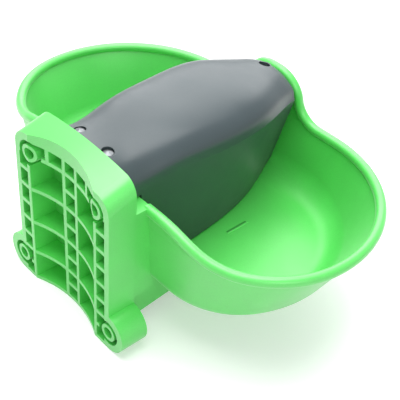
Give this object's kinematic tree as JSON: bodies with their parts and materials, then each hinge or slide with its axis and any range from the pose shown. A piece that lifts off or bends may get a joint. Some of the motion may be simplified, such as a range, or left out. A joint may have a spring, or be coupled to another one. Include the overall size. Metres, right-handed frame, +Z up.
{
  "type": "livestock drinking bowl",
  "caption": "Moulded double drinking bowl with a rolled rim on a cored wall bracket; a screwed cover bridges the middle over a float valve with lever and float.",
  "frame": {"origin": "on the wall plane behind the bracket, midway between the left and right bolt holes and midway between the upper and lower ones", "axes": "+X to the right lobe as seen from the wall looking out, +Y away from the wall, +Z up"},
  "size_m": [0.4208, 0.2755, 0.1914],
  "materials": {
    "bowl_plastic": "satin",
    "cover_plastic": "satin",
    "screw_steel": "satin",
    "valve_brass": "satin",
    "seal_rubber": "matt",
    "nut_plastic": "matt",
    "white_plastic": "gloss",
    "float_plastic": "satin"
  },
  "bodies": {
    "bowl": {"bowl_body": "bowl_plastic", "cover": "cover_plastic", "cover_screws": "screw_steel", "valve_body": "valve_brass", "inlet_gasket": "seal_rubber", "inlet_washer": "seal_rubber", "inlet_backnut": "valve_brass", "inlet_strainer": "white_plastic", "valve_nozzle": "white_plastic", "lever_pin": "screw_steel", "pin_clip": "screw_steel"},
    "float": {"float_lever": "valve_brass", "float_upper": "float_plastic", "float_lower": "float_plastic", "float_stem": "valve_brass", "float_nuts": "valve_brass"},
    "piston": {"valve_piston": "valve_brass", "piston_seal": "seal_rubber", "seal_cap": "valve_brass"},
    "drain": {"drain_plug": "nut_plastic", "drain_seal": "seal_rubber"}
  },
  "joints": [
    {"name": "float_swing", "type": "hinge", "parent": "bowl", "child": "float", "pos_m": [0, 0.121, 0.042], "axis": [1, 0, 0], "range_deg": [0, 24]},
    {"name": "piston_slide", "type": "slide", "parent": "bowl", "child": "piston", "axis": [0, 1, 0], "range_m": [-0.0052, 0]},
    {"name": "drain_pull", "type": "slide", "parent": "bowl", "child": "drain", "axis": [0, 0, -1], "range_m": [0, 0.02]}
  ],
  "couplings": [
    {"joint": "piston_slide", "follows": "float_swing", "m_per_rad": -0.01191}
  ]
}
